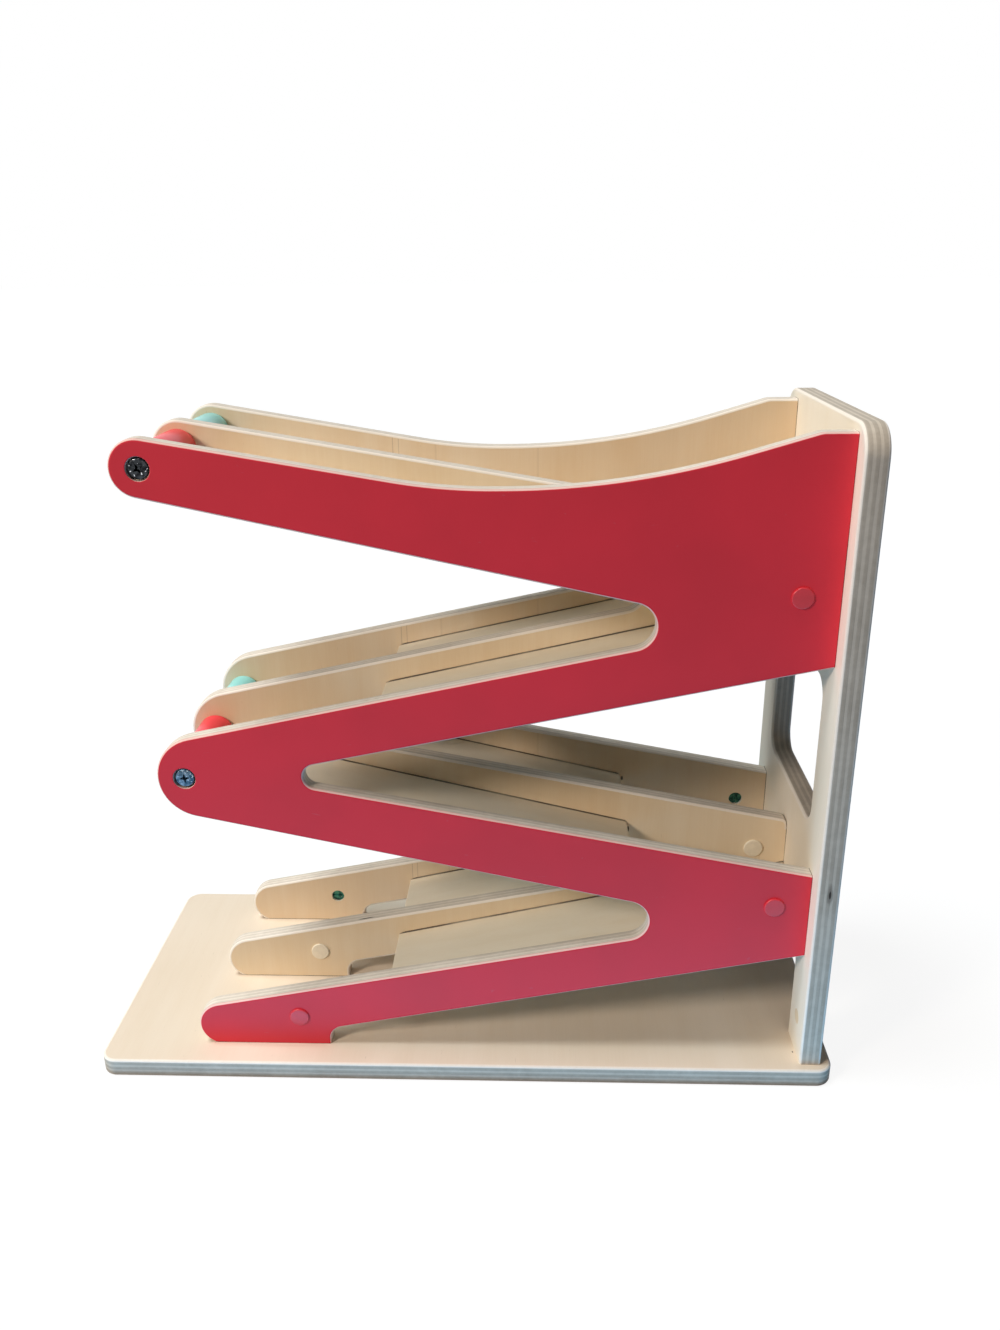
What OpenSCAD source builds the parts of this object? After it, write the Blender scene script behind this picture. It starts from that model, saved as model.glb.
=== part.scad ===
// Car ramp toy: a wooden zigzag of ramps in two lanes.
// Frame: millimetres, +X to the right towards the back board, +Y away from the painted side,
// +Z up. The origin is the centre of the base board's underside.
// "Reach" is a distance to the left of the back board's front face, "height" one above the base board.

/* [Base board] */
// Length of the base board, left to right
base_l = 400; // [370:1:520]
// Depth of the base board, painted side to rear
base_w = 166; // [158:1:240]
// Thickness of the base board
base_t = 10.5; // [9:0.5:18]
// Corner radius of the base board in plan
base_corner_r = 9; // [3:0.5:30]

/* [Back board] */
// Width of the back board, painted side to rear
back_w = 156; // [140:1:158]
// Height of the back board above the base board
back_h = 340.5; // [338:0.5:380]
// Thickness of the back board
back_t = 11.5; // [10:0.5:18]
// Distance from the base board's right end to the back board's rear face
back_inset = 6.2; // [0:0.1:12]
// Radius of the back board's two top corners
back_corner_r = 15; // [4:0.5:30]
// Width of the window
window_w = 100; // [60:1:110]
// Height of the window
window_h = 80; // [50:1:85]
// Height of the window's sill above the base board
window_sill = 131.5; // [120:0.5:136]
// Corner radius of the window
window_r = 11; // [4:0.5:24]
// Width of the doorway between the back board's two posts
doorway_w = 100; // [70:1:110]
// Height of the doorway
doorway_h = 55.5; // [40:0.5:58]
// Radius of the doorway's two top corners
doorway_r = 10; // [3:0.5:20]

/* [Lanes] */
// Thickness of the three side panels
panel_t = 9; // [8:0.5:11]
// Clear width of each lane between two side panels
lane_w = 51; // [44:0.5:54]
// Distance that the side panels stand forward of the boards' middle line
panels_forward = 2.4; // [0:0.1:4]

/* [Side panel outline] */
// Height of the front and rear panels at the back board
panel_h = 336; // [330:0.5:338]
// Height of the middle panel's straight top edge at the back board
middle_panel_h = 279.5; // [272:0.5:300]
// Reach of the point where the top edge turns down from its level end
brow_reach = 14.3; // [12:0.1:25]
// Radius of that turn
brow_r = 10; // [4:0.5:20]
// Reach of the lowest point of the dip in the top edge
dip_reach = 159.3; // [145:0.1:175]
// Height of the lowest point of the dip
dip_h = 311.3; // [306:0.1:316]
// Radius of the dip towards the back board
dip_right_r = 398; // [300:1:500]
// Radius of the dip towards the top arm
dip_left_r = 274; // [180:1:360]
// Reach of the top arm's round end
top_end_reach = 323.6; // [310:0.1:330]
// Height of the top arm's round end
top_end_h = 321.4; // [316:0.1:330]
// Radius of the top arm's round end
top_end_r = 13.8; // [13:0.1:18]
// Reach of the upper inner slot's round end
upper_slot_reach = 96.9; // [90:0.1:105]
// Height of the upper inner slot's round end
upper_slot_h = 245.5; // [242:0.1:249]
// Reach of the lower inner slot's round end
lower_slot_reach = 94.8; // [90:0.1:105]
// Height of the lower inner slot's round end
lower_slot_h = 82.3; // [79:0.1:86]
// Radius of the two inner slots' round ends
slot_r = 11.7; // [8:0.1:14]
// Reach of the left lobe, where the two middle arms meet
lobe_reach = 311.8; // [305:0.1:318]
// Height of the left lobe
lobe_h = 164.6; // [160:0.1:168]
// Radius of the left lobe
lobe_r = 22.4; // [20:0.1:26]
// Reach of the outer slot's round end
outer_slot_reach = 252.9; // [245:0.1:260]
// Height of the outer slot's round end
outer_slot_h = 165.6; // [162:0.1:168]
// Radius of the outer slot's round end
outer_slot_r = 6.7; // [5:0.1:9]
// Height at the back board of the upper lobe's lower edge
upper_lobe_h = 224.9; // [220:0.1:230]
// Height at the back board of the lower lobe's upper edge
lower_lobe_top_h = 110.6; // [106:0.1:114]
// Height at the back board of the lower lobe's lower edge
lower_lobe_h = 61.6; // [59:0.1:65]
// Radius of the middle panel's corner on top of the lower lobe
middle_corner_r = 4; // [1:0.5:8]
// Reach of the foot's round end
foot_end_reach = 315.6; // [310:0.1:325]
// Height of the foot's round end
foot_end_h = 11.9; // [10:0.1:13]
// Radius of the foot's round end
foot_end_r = 13.7; // [13:0.1:14.5]
// Reach of the foot's right side
foot_reach = 256; // [250:0.1:262]
// Radius inside the notch between the foot and the lowest arm
notch_r = 7.5; // [3:0.1:9]
// Height of the centre of that radius
notch_h = 3.8; // [2:0.1:6]

/* [Ramps] */
// Thickness of the ramps
ramp_t = 5; // [4:0.1:6]
// Depth of the grooves that hold the ramps in the side panels
groove_d = 2.3; // [1.5:0.1:3]
// Gap left above a ramp in its groove
groove_gap = 0.5; // [0.1:0.05:0.8]
// Gap left between a ramp's tongue and the floor and round ends of its groove
groove_end_gap = 0.2; // [0.1:0.1:0.6]
// Length of a ramp's free end that stands past its groove and hides it
groove_cover = 0.6; // [0.2:0.1:3]
// Length of groove left open where ramps 1 and 3 let a car drop
groove_overrun = 0.8; // [0:0.1:1.5]
// Clear gap through which a car drops beside the back board
drop_gap = 90.5; // [80:0.1:98]
// Reach of the two ramps that start at the back board
return_ramp_reach = 224.5; // [215:0.5:235]
// Gap between a roller and the ramp behind it
roller_gap = 4; // [2:0.1:8]
// Drop from a tie bolt's axis to the top of the ramp behind its roller
start_drop = 4.9; // [3:0.1:8]
// Height of the ends of ramps 1 and 3 above the slot below them
slot_cover = 14.6; // [10:0.1:16]
// Height of ramp 2 at the back board above the upper lobe's lower edge
ramp_2_rise = 19.3; // [16:0.1:22]
// Height of ramp 4 at the back board above the lower lobe's lower edge
ramp_4_rise = 21.6; // [17:0.1:23]
// Height of the free ends of ramps 2 and 4 above the arm's lower edge
free_end_lift = 15.1; // [11:0.1:16]

/* [Tie bolts and rollers] */
// Distance from a panel's left end to a tie bolt's axis
tie_edge = 14; // [12:0.1:16]
// Drop from the left lobe's centre to the lower tie bolt's axis
lower_tie_drop = 0.1; // [0:0.1:3]
// Diameter of the tie bolts' shanks
tie_d = 6; // [5:0.5:8]
// Diameter of the tie bolts' and sleeve nuts' heads
tie_head_d = 10.2; // [9.5:0.1:10.8]
// Height of the tie bolts' and sleeve nuts' heads
tie_head_h = 2.6; // [2:0.1:3]
// Outer diameter of the sleeve nuts' barrels
sleeve_d = 8; // [8:0.1:9]
// Diameter of the counterbores that take the heads
tie_bore_d = 11.4; // [11:0.1:14]
// Depth of those counterbores
tie_bore_depth = 3; // [2.5:0.1:4]
// Outer diameter of the rollers
roller_d = 19; // [14:0.1:22]
// Gap round a tie bolt inside a roller
roller_bore_gap = 0.07; // [0.03:0.01:0.1]
// Gap at each end of a roller
roller_end_gap = 0.4; // [0.2:0.1:1]

/* [Bolted joints] */
// Distance from a board to the barrel nuts that its bolts reach
nut_setback = 18.2; // [15:0.1:19]
// Distance from the foot's right side to its barrel nut
foot_nut_inset = 16.7; // [15:0.1:19]
// Height of the upper lobe's barrel nuts
upper_nut_h = 259.9; // [250:0.1:264]
// Height of the lower lobe's barrel nuts
lower_nut_h = 92; // [88:0.1:98]
// Height of the barrel nuts in the back board's posts
post_nut_h = 20.8; // [16:0.1:26]
// Diameter of the barrel nuts
nut_d = 8; // [7:0.1:9]
// Length of the barrel nuts
nut_l = 6; // [5.5:0.1:6.5]
// Gap round a barrel nut in its hole
nut_gap = 0.05; // [0.02:0.01:0.2]
// Width of the screwdriver slot in a barrel nut
nut_slot_w = 1.2; // [0.8:0.1:1.6]
// Depth of the screwdriver slot in a barrel nut
nut_slot_depth = 0.8; // [0.5:0.1:1]
// Diameter of the machine bolts
bolt_d = 4; // [3:0.5:5]
// Length of a machine bolt past a barrel nut's axis
bolt_tip = 3.2; // [2.5:0.1:5]
// Room left in front of a machine bolt's tip
tip_room = 1; // [0.5:0.1:2]
// Gap round a machine bolt in its clearance hole
bolt_gap = 0.2; // [0.1:0.05:0.4]
// Diameter of the machine bolts' heads
bolt_head_d = 7.6; // [6.5:0.1:8.4]
// Height of the machine bolts' heads
bolt_head_h = 2.8; // [2:0.1:3.2]
// Diameter of the counterbores that take the bolt heads
bolt_bore_d = 9; // [8.8:0.1:11]
// Depth of the counterbores that take the bolt heads
bolt_bore_depth = 3.4; // [3.3:0.1:5]
// Gap between a barrel nut and the cap or plug over it
cap_gap = 0.1; // [0.05:0.05:0.3]
// Diameter of the hole caps' heads
cap_d = 10.6; // [10:0.1:14]
// Height of the hole caps' heads above the panel
cap_h = 1.1; // [0.8:0.1:2]
// Diameter of the locating dowels
dowel_d = 5; // [4:0.1:5]
// Length of the locating dowels
dowel_l = 20; // [16:0.5:24]
// Depth of the locating dowels in the back board and the base board
dowel_in_board = 7; // [5:0.1:8]
// Distance from a lobe's lower edge to its locating dowel
dowel_edge = 8; // [7:0.1:9]
// Distance from the foot's bolt to its locating dowel
foot_dowel_step = 24; // [14:0.5:30]

/* [Hidden] */

$fn = 64;
cut = 0.5;                   // how far a cutting solid runs past a face
below_foot = 5;              // how far the foot's outline is drawn below the base board's top
arc_turn = 6;                // largest turn between two points of an arc, in degrees
arc_step = 4;                // longest step between two points of an arc

// Front faces of the three side panels, and the sides of the two lanes nearest the painted panel.
middle_y = -panels_forward - panel_t / 2;
front_y = middle_y - lane_w - panel_t;
rear_y = middle_y + lane_w + panel_t;
panels_y = [front_y, middle_y, rear_y];
front_lane_y = front_y + panel_t;
rear_lane_y = middle_y + panel_t;

face_x = base_l / 2 - back_inset - back_t;        // front face of the back board
rear_x = face_x + back_t;                         // rear face of the back board
post_y = (back_w + doorway_w) / 4;                // centre of each post of the back board

function at(reach, height, r = 0) = [face_x - reach, base_t + height, r];

// Circles that the side panels' outline runs round, as [x, z, radius]: a positive radius for a
// round end, a negative one for a hollow, 0 for a sharp corner.
top_end = at(top_end_reach, top_end_h, top_end_r);
upper_slot = at(upper_slot_reach, upper_slot_h, -slot_r);
lobe = at(lobe_reach, lobe_h, lobe_r);
lower_slot = at(lower_slot_reach, lower_slot_h, -slot_r);
outer_slot = at(outer_slot_reach, outer_slot_h, -outer_slot_r);
upper_lobe_corner = at(0, upper_lobe_h);
notch = at(foot_reach - notch_r, notch_h, -notch_r);
lower_lobe_corner = at(0, lower_lobe_h);
dip_flat = 2;                // half of the short level stretch between the dip's two radii

arched_top = [
    at(0, panel_h),
    at(brow_reach, panel_h - brow_r, brow_r),
    at(dip_reach - dip_flat, dip_h + dip_right_r, -dip_right_r),
    at(dip_reach + dip_flat, dip_h + dip_left_r, -dip_left_r)];
straight_top = [at(0, middle_panel_h)];

function outline_circles(top, lobe_corner_r) = concat(top, [
    top_end, upper_slot, lobe, lower_slot,
    at(foot_end_reach, foot_end_h, foot_end_r),
    at(foot_reach, -below_foot),
    notch, lower_lobe_corner,
    at(lobe_corner_r, lower_lobe_top_h - lobe_corner_r, lobe_corner_r),
    outer_slot, upper_lobe_corner]);

// Direction of the outward normal of the line that touches circle a and then circle b.
function line_normal(a, b) =
    atan2(b.y - a.y, b.x - a.x) - acos((a.z - b.z) / norm([b.x - a.x, b.y - a.y]));

// Height, at x, of the straight edge that touches circle a and then circle b.
function edge_z(a, b, x) =
    let (n = line_normal(a, b))
    let (p = [a.x + a.z * cos(n), a.y + a.z * sin(n)])
    let (q = [b.x + b.z * cos(n), b.y + b.z * sin(n)])
    p.y + (q.y - p.y) * (x - p.x) / (q.x - p.x);

function full_turn(angle) = angle - 360 * floor(angle / 360);

// Points of the arc on circle c from one normal direction to the next.
function arc_points(c, from, to) =
    c.z == 0 ? [[c.x, c.y]] :
    let (sweep = full_turn(to - from) - (c.z < 0 ? 360 : 0))
    let (steps = ceil(max(abs(sweep) / arc_turn, abs(sweep * c.z) * PI / 180 / arc_step)))
    [for (i = [0 : steps])
        let (angle = from + sweep * i / steps)
        [c.x + c.z * cos(angle), c.y + c.z * sin(angle)]];

// Closed outline that runs anticlockwise round the circles and joins them with straight edges.
function belt(circles) =
    let (n = len(circles))
    [for (i = [0 : n - 1])
        let (before = circles[(i + n - 1) % n], c = circles[i], after = circles[(i + 1) % n])
        each arc_points(c, line_normal(before, c), line_normal(c, after))];

// Tie bolt axes and nut centres, as [x, z].
upper_tie = [top_end.x - top_end_r + tie_edge, top_end.y];
lower_tie = [lobe.x - lobe_r + tie_edge, lobe.y - lower_tie_drop];
roller_r = roller_d / 2;
nut_x = face_x - nut_setback;
foot_nut = [face_x - foot_reach - foot_nut_inset, base_t + nut_setback];
lobe_nuts = [[nut_x, base_t + upper_nut_h], [nut_x, base_t + lower_nut_h]];
post_nut_z = base_t + post_nut_h;
post_nut_x = face_x + back_t / 2;
lobe_dowel_z = [base_t + upper_lobe_h + dowel_edge, base_t + lower_lobe_h + dowel_edge];
foot_dowel_x = foot_nut.x - foot_dowel_step;

// The ramps' top surfaces, as [left end, right end], each an [x, z] point.
far_x = face_x - drop_gap;
free_x = face_x - return_ramp_reach;
function start_point(tie) = [tie.x + roller_r + roller_gap, tie.y - start_drop];
ramps = [
    [start_point(upper_tie), [far_x, upper_slot.y + slot_r + slot_cover]],
    [[free_x, edge_z(outer_slot, upper_lobe_corner, free_x) + free_end_lift],
        [face_x, upper_lobe_corner.y + ramp_2_rise]],
    [start_point(lower_tie), [far_x, lower_slot.y + slot_r + slot_cover]],
    [[free_x, edge_z(notch, lower_lobe_corner, free_x) + free_end_lift],
        [face_x, lower_lobe_corner.y + ramp_4_rise]]];
function meets_back_board(i) = i % 2 == 1;

// How far a ramp's section reaches along its top. One that meets the back board is cut there.
function ramp_reach(i) = norm(ramps[i][1] - ramps[i][0]) + (meets_back_board(i) ? 2 * ramp_t : 0);

// Centres of the round ends of a ramp's grooves, along its top.
groove_w = ramp_t + groove_gap;
function groove_ends(i) = [
    groove_cover + groove_w / 2,
    ramp_reach(i) + (meets_back_board(i) ? 0 : groove_overrun - groove_w / 2)];

// Makes a drawing in X and Z into a slab from y to y + t.
module slab(y, t) {
    translate([0, y + t, 0]) rotate([90, 0, 0]) linear_extrude(t) children();
}

// A cylinder along +Y from [x, y, z].
module y_rod(x, y, z, d, l) {
    translate([x, y, z]) rotate([-90, 0, 0]) cylinder(d = d, h = l);
}

// A cylinder along +X from [x, y, z].
module x_rod(x, y, z, d, l) {
    translate([x, y, z]) rotate([0, 90, 0]) cylinder(d = d, h = l);
}

module round_rect(w, h, r) {
    square([w - 2 * r, h], center = true);
    square([w, h - 2 * r], center = true);
    for (x = [-1, 1], y = [-1, 1])
        translate([x * (w / 2 - r), y * (h / 2 - r)]) circle(r);
}

// Places a bolt that points along +Z at each joint of the back board.
module at_back_board_bolts() {
    for (y = panels_y, nut = lobe_nuts)
        translate([rear_x, y + panel_t / 2, nut.y]) rotate([0, -90, 0]) children();
}

// Clearance hole and counterbore for a bolt that points along +Z through a board t thick.
module bolt_hole(t) {
    translate([0, 0, -cut]) cylinder(d = bolt_bore_d, h = bolt_bore_depth + cut);
    cylinder(d = bolt_d + 2 * bolt_gap, h = t + cut);
}

module cross_recess(d, depth) {
    arm_w = d / 5;
    for (turn = [0, 90])
        rotate(turn) translate([-d / 2, -arm_w / 2, -cut]) cube([d, arm_w, depth + cut]);
}

// A pan head whose top faces -Z at z = 0 and whose seat is at z = h.
module pan_head(d, h) {
    difference() {
        rotate_extrude() polygon([[0, 0], [0.36 * d, 0], [0.46 * d, 0.25 * h], [0.5 * d, 0.6 * h],
            [0.5 * d, h], [0, h]]);
        cross_recess(0.52 * d, 0.6 * h);
    }
}

// A machine bolt that points along +Z, with its head sunk in a counterbore that opens at z = 0.
module machine_bolt(reach) {
    translate([0, 0, bolt_bore_depth - bolt_head_h]) pan_head(bolt_head_d, bolt_head_h);
    translate([0, 0, bolt_bore_depth]) cylinder(d = bolt_d, h = reach + bolt_tip - bolt_bore_depth);
}

// A barrel nut centred on the origin, along Y, with its thread along Z and its slot facing +Y.
module barrel_nut() {
    difference() {
        y_rod(0, -nut_l / 2, 0, nut_d, nut_l);
        translate([0, 0, -nut_d]) cylinder(d = bolt_d, h = 2 * nut_d);
        translate([-nut_d, nut_l / 2 - nut_slot_depth, -nut_slot_w / 2])
            cube([2 * nut_d, nut_slot_depth + cut, nut_slot_w]);
    }
}

// A hole cap whose head lies on the plane y = 0 and faces -Y.
module hole_cap() {
    hole_d = nut_d + 2 * nut_gap;
    stem_l = (panel_t - nut_l) / 2 - cap_gap;
    rotate([90, 0, 0]) rotate_extrude()
        polygon([[0, -stem_l], [hole_d / 2, -stem_l], [hole_d / 2, 0], [cap_d / 2, 0],
            [cap_d / 2, 0.5 * cap_h], [cap_d / 2 - 0.5 * cap_h, cap_h], [0, cap_h]]);
}

// Places children at the three nut holes of a panel, at depth y.
module at_panel_nuts(y) {
    for (nut = lobe_nuts) translate([nut.x, y, nut.y]) rotate([0, 90, 0]) children();
    translate([foot_nut.x, y, foot_nut.y]) children();
}

module base_board() {
    color("burlywood") difference() {
        linear_extrude(base_t) round_rect(base_l, base_w, base_corner_r);
        for (y = panels_y) {
            translate([foot_nut.x, y + panel_t / 2, 0]) bolt_hole(base_t);
            translate([foot_dowel_x, y + panel_t / 2, base_t - dowel_in_board])
                cylinder(d = dowel_d, h = dowel_in_board + cut);
        }
        for (side = [-1, 1]) translate([post_nut_x, side * post_y, 0]) bolt_hole(base_t);
    }
}

module back_board_outline() {
    difference() {
        intersection() {
            translate([0, base_t]) round_rect(back_w, 2 * back_h, back_corner_r);
            translate([-back_w / 2, base_t]) square([back_w, back_h]);
        }
        translate([0, base_t + window_sill + window_h / 2]) round_rect(window_w, window_h, window_r);
        translate([0, base_t]) round_rect(doorway_w, 2 * doorway_h, doorway_r);
    }
}

module back_board() {
    nut_hole_depth = (back_t + nut_l) / 2;
    color("burlywood") difference() {
        translate([face_x, 0, 0]) rotate([90, 0, 90]) linear_extrude(back_t) back_board_outline();
        at_back_board_bolts() bolt_hole(back_t);
        for (y = panels_y, z = lobe_dowel_z)
            x_rod(face_x - cut, y + panel_t / 2, z, dowel_d, dowel_in_board + cut);
        for (side = [-1, 1]) {
            x_rod(face_x - cut, side * post_y, post_nut_z, nut_d + 2 * nut_gap, nut_hole_depth + cut);
            translate([post_nut_x, side * post_y, base_t - cut])
                cylinder(d = bolt_d + 2 * bolt_gap, h = post_nut_h + bolt_tip + tip_room + cut);
        }
    }
}

// Turns a drawing so that X runs along the top of ramp i from its left end.
module along_ramp(i) {
    run = ramps[i][1] - ramps[i][0];
    translate(ramps[i][0]) rotate(atan2(run.y, run.x)) children();
}

// Ramp i's section from a to b along its top, cut plumb at the back board.
module ramp_section(i, a, b) {
    intersection() {
        along_ramp(i) translate([a, -ramp_t]) square([b - a, ramp_t]);
        translate([face_x - 2 * base_l, 0]) square([2 * base_l, 2 * back_h]);
    }
}

// The grooves of all four ramps, with the round ends that a cutter leaves.
module groove_sections() {
    for (i = [0 : len(ramps) - 1]) {
        ends = groove_ends(i);
        along_ramp(i) {
            translate([ends[0], -ramp_t]) square([ends[1] - ends[0], groove_w]);
            for (x = ends) translate([x, groove_w / 2 - ramp_t]) circle(groove_w / 2);
        }
    }
}

module panel_outline(top, lobe_corner_r) {
    intersection() {
        polygon(belt(outline_circles(top, lobe_corner_r)));
        translate([-base_l, base_t]) square([2 * base_l, 2 * back_h]);
    }
}

// A side panel without its tie bolt holes, grooved on its front face, its rear face or both.
module side_panel(y, top, lobe_corner_r, front_grooves, rear_grooves) {
    mid_y = y + panel_t / 2;
    dowel_in_panel = dowel_l - dowel_in_board;
    shank_bore_d = bolt_d + 2 * bolt_gap;
    shank_bore_l = nut_setback + bolt_tip + tip_room;
    difference() {
        slab(y, panel_t) panel_outline(top, lobe_corner_r);
        if (front_grooves) slab(y - cut, groove_d + cut) groove_sections();
        if (rear_grooves) slab(y + panel_t - groove_d, groove_d + cut) groove_sections();
        at_panel_nuts(mid_y) y_rod(0, -panel_t, 0, nut_d + 2 * nut_gap, 2 * panel_t);
        for (nut = lobe_nuts)
            x_rod(face_x - shank_bore_l, mid_y, nut.y, shank_bore_d, shank_bore_l + cut);
        for (z = lobe_dowel_z)
            x_rod(face_x - dowel_in_panel, mid_y, z, dowel_d, dowel_in_panel + cut);
        translate([foot_nut.x, mid_y, base_t - cut]) cylinder(d = shank_bore_d, h = shank_bore_l + cut);
        translate([foot_dowel_x, mid_y, base_t - cut]) cylinder(d = dowel_d, h = dowel_in_panel + cut);
    }
}

// The two tie bolt holes through a panel.
module tie_holes(y, d) {
    for (tie = [upper_tie, lower_tie]) y_rod(tie.x, y - cut, tie.y, d, panel_t + 2 * cut);
}

// The two counterbores that a panel's outer face has for the tie bolts' or sleeve nuts' heads.
module head_bores(y) {
    for (tie = [upper_tie, lower_tie]) y_rod(tie.x, y, tie.y, tie_bore_d, tie_bore_depth + cut);
}

module front_side_panel() {
    color("crimson") difference() {
        side_panel(front_y, arched_top, 0, false, true);
        tie_holes(front_y, tie_d + 2 * bolt_gap);
        head_bores(front_y - cut);
    }
}

module middle_side_panel() {
    color("wheat") difference() {
        side_panel(middle_y, straight_top, middle_corner_r, true, true);
        tie_holes(middle_y, tie_d + 2 * bolt_gap);
    }
}

module rear_side_panel() {
    color("mediumaquamarine") difference() {
        side_panel(rear_y, arched_top, 0, true, false);
        tie_holes(rear_y, sleeve_d + 2 * bolt_gap);
        head_bores(rear_y + panel_t - tie_bore_depth);
    }
}

module lane_ramp(lane_y, i) {
    tongue = groove_d - groove_end_gap;
    ends = groove_ends(i);
    color("tan") {
        slab(lane_y, lane_w) ramp_section(i, 0, ramp_reach(i));
        slab(lane_y - tongue, lane_w + 2 * tongue)
            ramp_section(i, ends[0] + groove_end_gap, ends[1] - groove_end_gap);
    }
}

module roller(lane_y, tie) {
    difference() {
        y_rod(tie.x, lane_y + roller_end_gap, tie.y, roller_d, lane_w - 2 * roller_end_gap);
        y_rod(tie.x, lane_y, tie.y, tie_d + 2 * roller_bore_gap, lane_w);
    }
}

module front_roller(tie) { color("tomato") roller(front_lane_y, tie); }
module rear_roller(tie) { color("paleturquoise") roller(rear_lane_y, tie); }

front_seat_y = front_y + tie_bore_depth;
rear_seat_y = rear_y + panel_t - tie_bore_depth;

module tie_bolt(tie) {
    color("dimgray") translate([tie.x, front_seat_y - tie_head_h, tie.y]) rotate([-90, 0, 0]) {
        pan_head(tie_head_d, tie_head_h);
        translate([0, 0, tie_head_h]) cylinder(d = tie_d, h = rear_seat_y - front_seat_y);
    }
}

module sleeve_nut(tie) {
    barrel_l = panel_t - tie_bore_depth;
    color("silver") difference() {
        translate([tie.x, rear_seat_y + tie_head_h, tie.y]) rotate([90, 0, 0]) {
            pan_head(tie_head_d, tie_head_h);
            translate([0, 0, tie_head_h]) cylinder(d = sleeve_d, h = barrel_l);
        }
        y_rod(tie.x, rear_seat_y - barrel_l - cut, tie.y, tie_d, barrel_l + cut);
    }
}

module front_hole_caps() { color("crimson") at_panel_nuts(front_y) hole_cap(); }
module middle_hole_caps() { color("bisque") at_panel_nuts(middle_y) hole_cap(); }
module rear_hole_caps() {
    color("paleturquoise") at_panel_nuts(rear_y + panel_t) mirror([0, 1, 0]) hole_cap();
}

// Flush plugs over the barrel nuts in the back board's posts.
module post_plugs() {
    plug_l = (back_t - nut_l) / 2 - cap_gap;
    color("tan") for (side = [-1, 1])
        x_rod(face_x, side * post_y, post_nut_z, nut_d + 2 * nut_gap, plug_l);
}

module panel_barrel_nuts() {
    color("silver") {
        for (y = [front_y, middle_y]) at_panel_nuts(y + panel_t / 2) barrel_nut();
        at_panel_nuts(rear_y + panel_t / 2) mirror([0, 1, 0]) barrel_nut();
    }
}

module post_barrel_nuts() {
    color("silver") for (side = [-1, 1])
        translate([post_nut_x, side * post_y, post_nut_z]) rotate([0, 0, 90]) barrel_nut();
}

module back_board_bolts() {
    color("silver") at_back_board_bolts() machine_bolt(back_t + nut_setback);
}

module base_bolts() {
    color("silver") {
        for (y = panels_y) translate([foot_nut.x, y + panel_t / 2, 0]) machine_bolt(foot_nut.y);
        for (side = [-1, 1])
            translate([post_nut_x, side * post_y, 0]) machine_bolt(post_nut_z);
    }
}

module locating_dowels() {
    color("burlywood") for (y = panels_y) {
        for (z = lobe_dowel_z)
            x_rod(face_x + dowel_in_board - dowel_l, y + panel_t / 2, z, dowel_d, dowel_l);
        translate([foot_dowel_x, y + panel_t / 2, base_t - dowel_in_board])
            cylinder(d = dowel_d, h = dowel_l);
    }
}

base_board();
back_board();
front_side_panel();
middle_side_panel();
rear_side_panel();
for (i = [0 : len(ramps) - 1]) {
    lane_ramp(front_lane_y, i);
    lane_ramp(rear_lane_y, i);
}
front_roller(upper_tie);  // upper_front_roller
rear_roller(upper_tie);  // upper_rear_roller
front_roller(lower_tie);  // lower_front_roller
rear_roller(lower_tie);  // lower_rear_roller
tie_bolt(upper_tie);  // upper_tie_bolt
tie_bolt(lower_tie);  // lower_tie_bolt
sleeve_nut(upper_tie);  // upper_sleeve_nut
sleeve_nut(lower_tie);  // lower_sleeve_nut
front_hole_caps();
middle_hole_caps();
rear_hole_caps();
post_plugs();
panel_barrel_nuts();
post_barrel_nuts();
back_board_bolts();
base_bolts();
locating_dowels();
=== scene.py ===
import math

import bmesh
import bpy
import numpy as np
from mathutils import Matrix, Vector


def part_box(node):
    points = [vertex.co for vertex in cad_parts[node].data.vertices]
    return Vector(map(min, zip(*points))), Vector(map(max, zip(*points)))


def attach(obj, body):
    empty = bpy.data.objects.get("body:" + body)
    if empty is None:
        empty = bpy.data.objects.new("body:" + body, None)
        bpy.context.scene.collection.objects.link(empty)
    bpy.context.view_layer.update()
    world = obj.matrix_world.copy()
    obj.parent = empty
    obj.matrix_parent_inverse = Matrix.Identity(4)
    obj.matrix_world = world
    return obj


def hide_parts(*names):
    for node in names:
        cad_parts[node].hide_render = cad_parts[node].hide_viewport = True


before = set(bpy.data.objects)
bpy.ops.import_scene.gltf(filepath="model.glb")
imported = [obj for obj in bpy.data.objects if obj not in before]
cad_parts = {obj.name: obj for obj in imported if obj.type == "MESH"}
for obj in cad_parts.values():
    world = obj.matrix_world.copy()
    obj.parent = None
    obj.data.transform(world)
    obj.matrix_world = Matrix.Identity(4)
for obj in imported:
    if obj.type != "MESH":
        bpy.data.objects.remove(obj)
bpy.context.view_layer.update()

# Looks of the car ramp toy: plywood boards with routed edges, eased ramps, lacquered rollers and
# fasteners, all built on the frame. Lengths are in metres, in the frame's own axes.
MM = 0.001
X, Y, Z = 0, 1, 2

# Meshes
MERGE = 0.001 * MM
SMOOTH_UNDER = math.radians(35)      # faces that meet at a smaller angle are shaded as one surface
SAME_PLANE = 0.9999                  # least cosine between the normals of faces in one plane
QUARTER_TURN = np.linspace(0, math.pi / 2, 7)

# Boards: the routed edges and the plies
EASE_R = 1.4 * MM
EASE_STEPS = 8
CUTTER_PAST = 1.0 * MM               # how far the router's profile reaches past the wood
RUN_PAST = 2.5 * MM                  # how far a routed run goes on into the mouth of a groove
SHARP_TURN = math.radians(20)
LOOP_MIN = 100 * MM                  # outlines shorter than this are holes
RIM_MIN = 30 * MM                    # holes with a shorter rim than this stay sharp
RIM_R = 0.45 * MM
PLIES = 7
PAINT_ENDS = (0.14, 0.24)            # where the paint thins out on a rim, in mm from its face
# The faint tinge of the paint's colour on the rest of a rim is partly paint dust and partly a painted
# reflection of the painted face beside it
DUST_AND_REFLECTION_ENDS = (1.1, 1.5)              # where its faint tinge beyond that ends
DUST_AND_REFLECTION_TINGE = 0.32

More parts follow.
